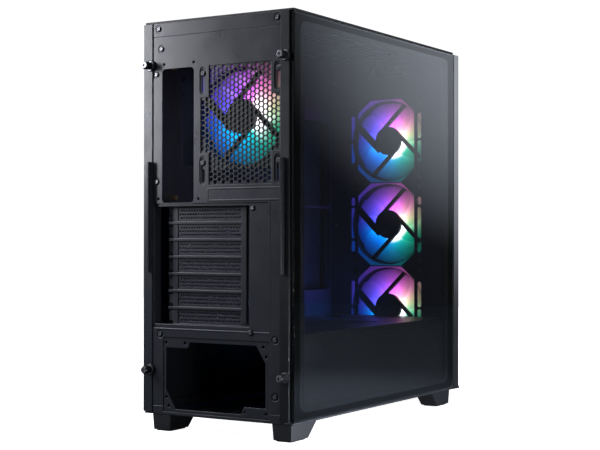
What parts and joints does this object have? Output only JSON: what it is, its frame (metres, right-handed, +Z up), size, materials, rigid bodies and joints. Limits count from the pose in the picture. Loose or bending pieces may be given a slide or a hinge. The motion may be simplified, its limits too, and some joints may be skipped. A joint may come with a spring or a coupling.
{
  "type": "desktop computer tower case",
  "caption": "Black mid-tower computer case with a smoked glass side, vented rear wall, perforated slot covers, lit fans, removable side panels and a push-on front.",
  "frame": {"origin": "on the floor, at the centre of the footprint", "axes": "+Z up, front towards -Y, rear wall towards +Y, glass side towards -X, steel side panel towards +X"},
  "size_m": [0.2144, 0.479, 0.49],
  "materials": {
    "case_steel": "black powder coat with a fine grain",
    "inner_steel": "black powder coat inside the case",
    "slot_steel": "black powder coat on punched covers",
    "glass": "smoked tempered glass with a black printed border",
    "seal": "matt black foam",
    "bezel": "fine spark texture",
    "mesh": "black punched sheet",
    "filter": "black nylon mesh",
    "filter_frame": "matt",
    "foot": "matt",
    "pad": "matt rubber",
    "fan_frame": "matt",
    "fan_rotor": "milky translucent, lit from the hub",
    "copper": "enamelled winding",
    "black_screw": "black oxide",
    "bright_screw": "zinc plated",
    "brass": "plain brass",
    "board": "green solder mask",
    "port": "plated shell",
    "button": "satin"
  },
  "bodies": {
    "chassis": {"base_pan": "case_steel", "rear_panel": "case_steel", "rear_fan_grille": "slot_steel", "slot_frame": "slot_steel", "top_panel": "case_steel", "front_wall": "inner_steel", "motherboard_tray": "inner_steel", "psu_shroud": "inner_steel", "psu_bracket": "case_steel", "slot_cover_1": "slot_steel", "slot_cover_2": "slot_steel", "slot_cover_3": "slot_steel", "slot_cover_4": "slot_steel", "slot_cover_5": "slot_steel", "slot_cover_6": "slot_steel", "slot_cover_7": "slot_steel", "slot_screws": "bright_screw", "foot_rear_steel": "foot", "foot_rear_glass": "foot", "foot_front_steel": "foot", "foot_front_glass": "foot", "foot_pads": "pad", "fan_frame_rear": "fan_frame", "fan_frame_high": "fan_frame", "fan_frame_mid": "fan_frame", "fan_frame_low": "fan_frame", "fan_motor_rear": "copper", "fan_motor_high": "copper", "fan_motor_mid": "copper", "fan_motor_low": "copper", "fan_screws": "bright_screw", "drive_cage": "inner_steel", "drive_tray_1": "filter_frame", "drive_tray_2": "filter_frame", "standoffs": "brass", "wall_screws": "black_screw"},
    "steel_panel": {"steel_side_panel": "case_steel"},
    "glass_panel": {"glass_pane": "glass", "glass_frame": "inner_steel", "glass_seal": "seal"},
    "thumb_steel_top": {"thumbscrew_steel_top": "black_screw"},
    "thumb_steel_low": {"thumbscrew_steel_low": "black_screw"},
    "thumb_glass_top": {"thumbscrew_glass_top": "black_screw"},
    "thumb_glass_low": {"thumbscrew_glass_low": "black_screw"},
    "front_panel": {"front_bezel": "bezel", "front_mesh": "mesh", "front_filter": "filter", "io_board": "board", "io_ports": "port"},
    "power_button": {"power_button": "button"},
    "light_button": {"light_button": "button"},
    "top_filter": {"top_filter_frame": "filter_frame", "top_filter_mesh": "filter"},
    "bottom_filter": {"bottom_filter_frame": "filter_frame", "bottom_filter_mesh": "filter"},
    "rotor_rear": {"fan_rotor_rear": "fan_rotor"},
    "rotor_high": {"fan_rotor_high": "fan_rotor"},
    "rotor_mid": {"fan_rotor_mid": "fan_rotor"},
    "rotor_low": {"fan_rotor_low": "fan_rotor"}
  },
  "joints": [
    {"name": "steel_panel_slide", "type": "slide", "parent": "chassis", "child": "steel_panel", "axis": [0, 1, 0], "range_m": [0, 0.45]},
    {"name": "glass_panel_slide", "type": "slide", "parent": "chassis", "child": "glass_panel", "axis": [0, 1, 0], "range_m": [0, 0.45]},
    {"name": "thumbscrew_steel_top_turn", "type": "hinge", "parent": "steel_panel", "child": "thumb_steel_top", "pos_m": [0.0955, 0.2258, 0.437], "axis": [0, 1, 0], "continuous": true},
    {"name": "thumbscrew_steel_low_turn", "type": "hinge", "parent": "steel_panel", "child": "thumb_steel_low", "pos_m": [0.0955, 0.2258, 0.073], "axis": [0, 1, 0], "continuous": true},
    {"name": "thumbscrew_glass_top_turn", "type": "hinge", "parent": "glass_panel", "child": "thumb_glass_top", "pos_m": [-0.0955, 0.2258, 0.437], "axis": [0, 1, 0], "continuous": true},
    {"name": "thumbscrew_glass_low_turn", "type": "hinge", "parent": "glass_panel", "child": "thumb_glass_low", "pos_m": [-0.0955, 0.2258, 0.073], "axis": [0, 1, 0], "continuous": true},
    {"name": "front_panel_pull", "type": "slide", "parent": "chassis", "child": "front_panel", "axis": [0, -1, 0], "range_m": [0, 0.06]},
    {"name": "power_button_press", "type": "slide", "parent": "front_panel", "child": "power_button", "axis": [0, 0, -1], "range_m": [0, 0.0012], "stiffness_N_per_m": 150, "springref_m": -0.002},
    {"name": "light_button_press", "type": "slide", "parent": "front_panel", "child": "light_button", "axis": [0, 0, -1], "range_m": [0, 0.0012], "stiffness_N_per_m": 100, "springref_m": -0.002},
    {"name": "top_filter_lift", "type": "slide", "parent": "chassis", "child": "top_filter", "axis": [0, 0, 1], "range_m": [0, 0.03]},
    {"name": "bottom_filter_slide", "type": "slide", "parent": "chassis", "child": "bottom_filter", "axis": [0, 1, 0], "range_m": [0, 0.22]},
    {"name": "fan_rear_spin", "type": "hinge", "parent": "chassis", "child": "rotor_rear", "pos_m": [-0.0325, 0.2103, 0.371], "axis": [0, 1, 0], "continuous": true},
    {"name": "fan_high_spin", "type": "hinge", "parent": "chassis", "child": "rotor_high", "pos_m": [0.0005, -0.2145, 0.3707], "axis": [0, 1, 0], "continuous": true},
    {"name": "fan_mid_spin", "type": "hinge", "parent": "chassis", "child": "rotor_mid", "pos_m": [0.0005, -0.2145, 0.2507], "axis": [0, 1, 0], "continuous": true},
    {"name": "fan_low_spin", "type": "hinge", "parent": "chassis", "child": "rotor_low", "pos_m": [0.0005, -0.2145, 0.1307], "axis": [0, 1, 0], "continuous": true}
  ]
}
